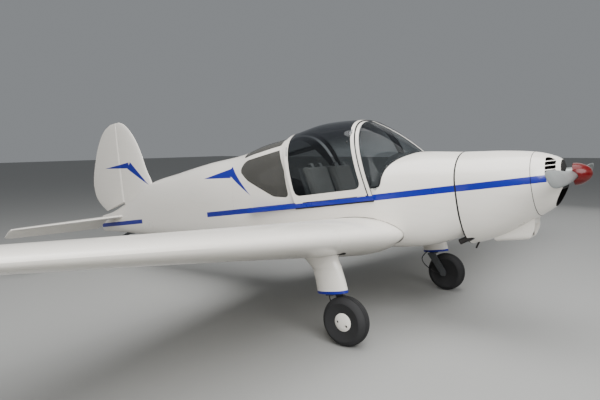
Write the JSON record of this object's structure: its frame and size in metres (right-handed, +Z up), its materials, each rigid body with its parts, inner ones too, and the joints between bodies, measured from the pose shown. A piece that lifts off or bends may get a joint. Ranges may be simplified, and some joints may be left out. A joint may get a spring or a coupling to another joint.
{
  "type": "light trainer aircraft",
  "caption": "Low-wing two-seat light trainer on a tail wheel, with an in-line engine cowl, sliding bubble hood, dihedral tapered wing and single faired main legs.",
  "frame": {"origin": "on the ground, below the centre of the bounding box", "axes": "+X towards the nose, +Y to port along the wing, +Z up, with the aircraft standing on its three wheels"},
  "size_m": [6.8401, 10.556, 2.0212],
  "materials": {
    "paint_cream": "gloss cream paint, slightly aged",
    "paint_blue": "gloss blue paint",
    "paint_red": "gloss dark red paint",
    "canopy_glass": "clear acrylic, faintly tinted",
    "tyre_rubber": "matte black rubber, dusty",
    "gear_steel": "satin steel, lightly soiled",
    "sooted_steel": "heat-darkened, sooty",
    "engine_iron": "dull metal",
    "blade_paint": "satin light grey paint",
    "panel_black": "matte black",
    "seat_cloth": "light grey woven cloth"
  },
  "bodies": {
    "airframe": {"aft_canopy_frame": "paint_cream", "aft_strip_window_left": "canopy_glass", "aft_strip_window_right": "canopy_glass", "aft_window_left": "canopy_glass", "aft_window_right": "canopy_glass", "chin_scoop": "paint_cream", "control_stick_left": "panel_black", "control_stick_right": "panel_black", "engine_block": "engine_iron", "engine_cowl": "paint_cream", "exhaust_stub": "sooted_steel", "fin": "paint_cream", "fuselage_tub": "paint_cream", "instrument_panel": "panel_black", "leg_fairing_left": "paint_cream", "leg_fairing_right": "paint_cream", "leg_root_fairing_left": "paint_cream", "leg_root_fairing_right": "paint_cream", "main_leg_left": "gear_steel", "main_leg_right": "gear_steel", "middle_wing": "paint_cream", "nose_ring": "paint_cream", "outer_wing_left": "paint_cream", "outer_wing_right": "paint_cream", "rear_fuselage": "paint_cream", "seat_back_left": "seat_cloth", "seat_back_right": "seat_cloth", "seat_cushion_left": "seat_cloth", "seat_cushion_right": "seat_cloth", "seat_frame_left": "engine_iron", "seat_frame_right": "engine_iron", "slide_rail_left": "paint_blue", "slide_rail_right": "paint_blue", "tail_spring": "gear_steel", "tailplane": "paint_cream", "windscreen_arch": "paint_cream", "windscreen_pane": "canopy_glass"},
    "propeller": {"propeller": "blade_paint", "spinner": "paint_red"},
    "wheel_left": {"main_tyre_left": "tyre_rubber", "main_hub_left": "paint_cream"},
    "wheel_right": {"main_tyre_right": "tyre_rubber", "main_hub_right": "paint_cream"},
    "tail_fork": {"tail_fork": "gear_steel"},
    "tail_wheel": {"tail_wheel": "tyre_rubber"},
    "rudder": {"rudder": "paint_cream"},
    "elevator": {"elevator": "paint_cream"},
    "aileron_left": {"aileron_left": "paint_cream"},
    "aileron_right": {"aileron_right": "paint_cream"},
    "flap_left": {"flap_left": "paint_cream"},
    "flap_right": {"flap_right": "paint_cream"},
    "hood": {"hood_frame": "paint_cream", "hood_glass": "canopy_glass"}
  },
  "joints": [
    {"name": "propeller_spin", "type": "hinge", "parent": "airframe", "child": "propeller", "pos_m": [3.28165, 0, 1.41372], "axis": [0.99, 0, 0.1409], "continuous": true},
    {"name": "main_wheel_left_spin", "type": "hinge", "parent": "airframe", "child": "wheel_left", "pos_m": [1.794, 1.095, 0.21], "axis": [0, 1, 0], "continuous": true},
    {"name": "main_wheel_right_spin", "type": "hinge", "parent": "airframe", "child": "wheel_right", "pos_m": [1.794, -1.095, 0.21], "axis": [0, 1, 0], "continuous": true},
    {"name": "tail_fork_swivel", "type": "hinge", "parent": "airframe", "child": "tail_fork", "pos_m": [-2.896, 0, 0.26], "axis": [0, 0, 1], "range_deg": [-60, 60]},
    {"name": "tail_wheel_spin", "type": "hinge", "parent": "tail_fork", "child": "tail_wheel", "pos_m": [-2.956, 0, 0.1], "axis": [0, 1, 0], "continuous": true},
    {"name": "rudder_hinge", "type": "hinge", "parent": "airframe", "child": "rudder", "pos_m": [-2.71596, 0, 1.27728], "axis": [-0.1409, 0, 0.99], "range_deg": [-28, 28]},
    {"name": "elevator_hinge", "type": "hinge", "parent": "airframe", "child": "elevator", "pos_m": [-2.93197, 0, 0.63039], "axis": [0, 1, 0], "range_deg": [0, 53]},
    {"name": "aileron_left_hinge", "type": "hinge", "parent": "airframe", "child": "aileron_left", "pos_m": [0.86036, 3.656, 1.02656], "axis": [0.1072, 0.9861, 0.1271], "range_deg": [-20, 20]},
    {"name": "aileron_right_hinge", "type": "hinge", "parent": "airframe", "child": "aileron_right", "pos_m": [0.86036, -3.656, 1.02656], "axis": [-0.1072, 0.9861, -0.1271], "range_deg": [-20, 20]},
    {"name": "flap_left_hinge", "type": "hinge", "parent": "airframe", "child": "flap_left", "pos_m": [0.63445, 1.57, 0.75272], "axis": [-0.1062, -0.9855, -0.1322], "range_deg": [0, 40]},
    {"name": "flap_right_hinge", "type": "hinge", "parent": "airframe", "child": "flap_right", "pos_m": [0.63445, -1.57, 0.75272], "axis": [0.1062, -0.9855, 0.1322], "range_deg": [0, 40]},
    {"name": "hood_slide", "type": "slide", "parent": "airframe", "child": "hood", "axis": [-0.99, 0, -0.1409], "range_m": [0, 0.5]}
  ],
  "couplings": [
    {"joint": "aileron_right_hinge", "follows": "aileron_left_hinge", "ratio": -1},
    {"joint": "flap_right_hinge", "follows": "flap_left_hinge", "ratio": 1}
  ]
}
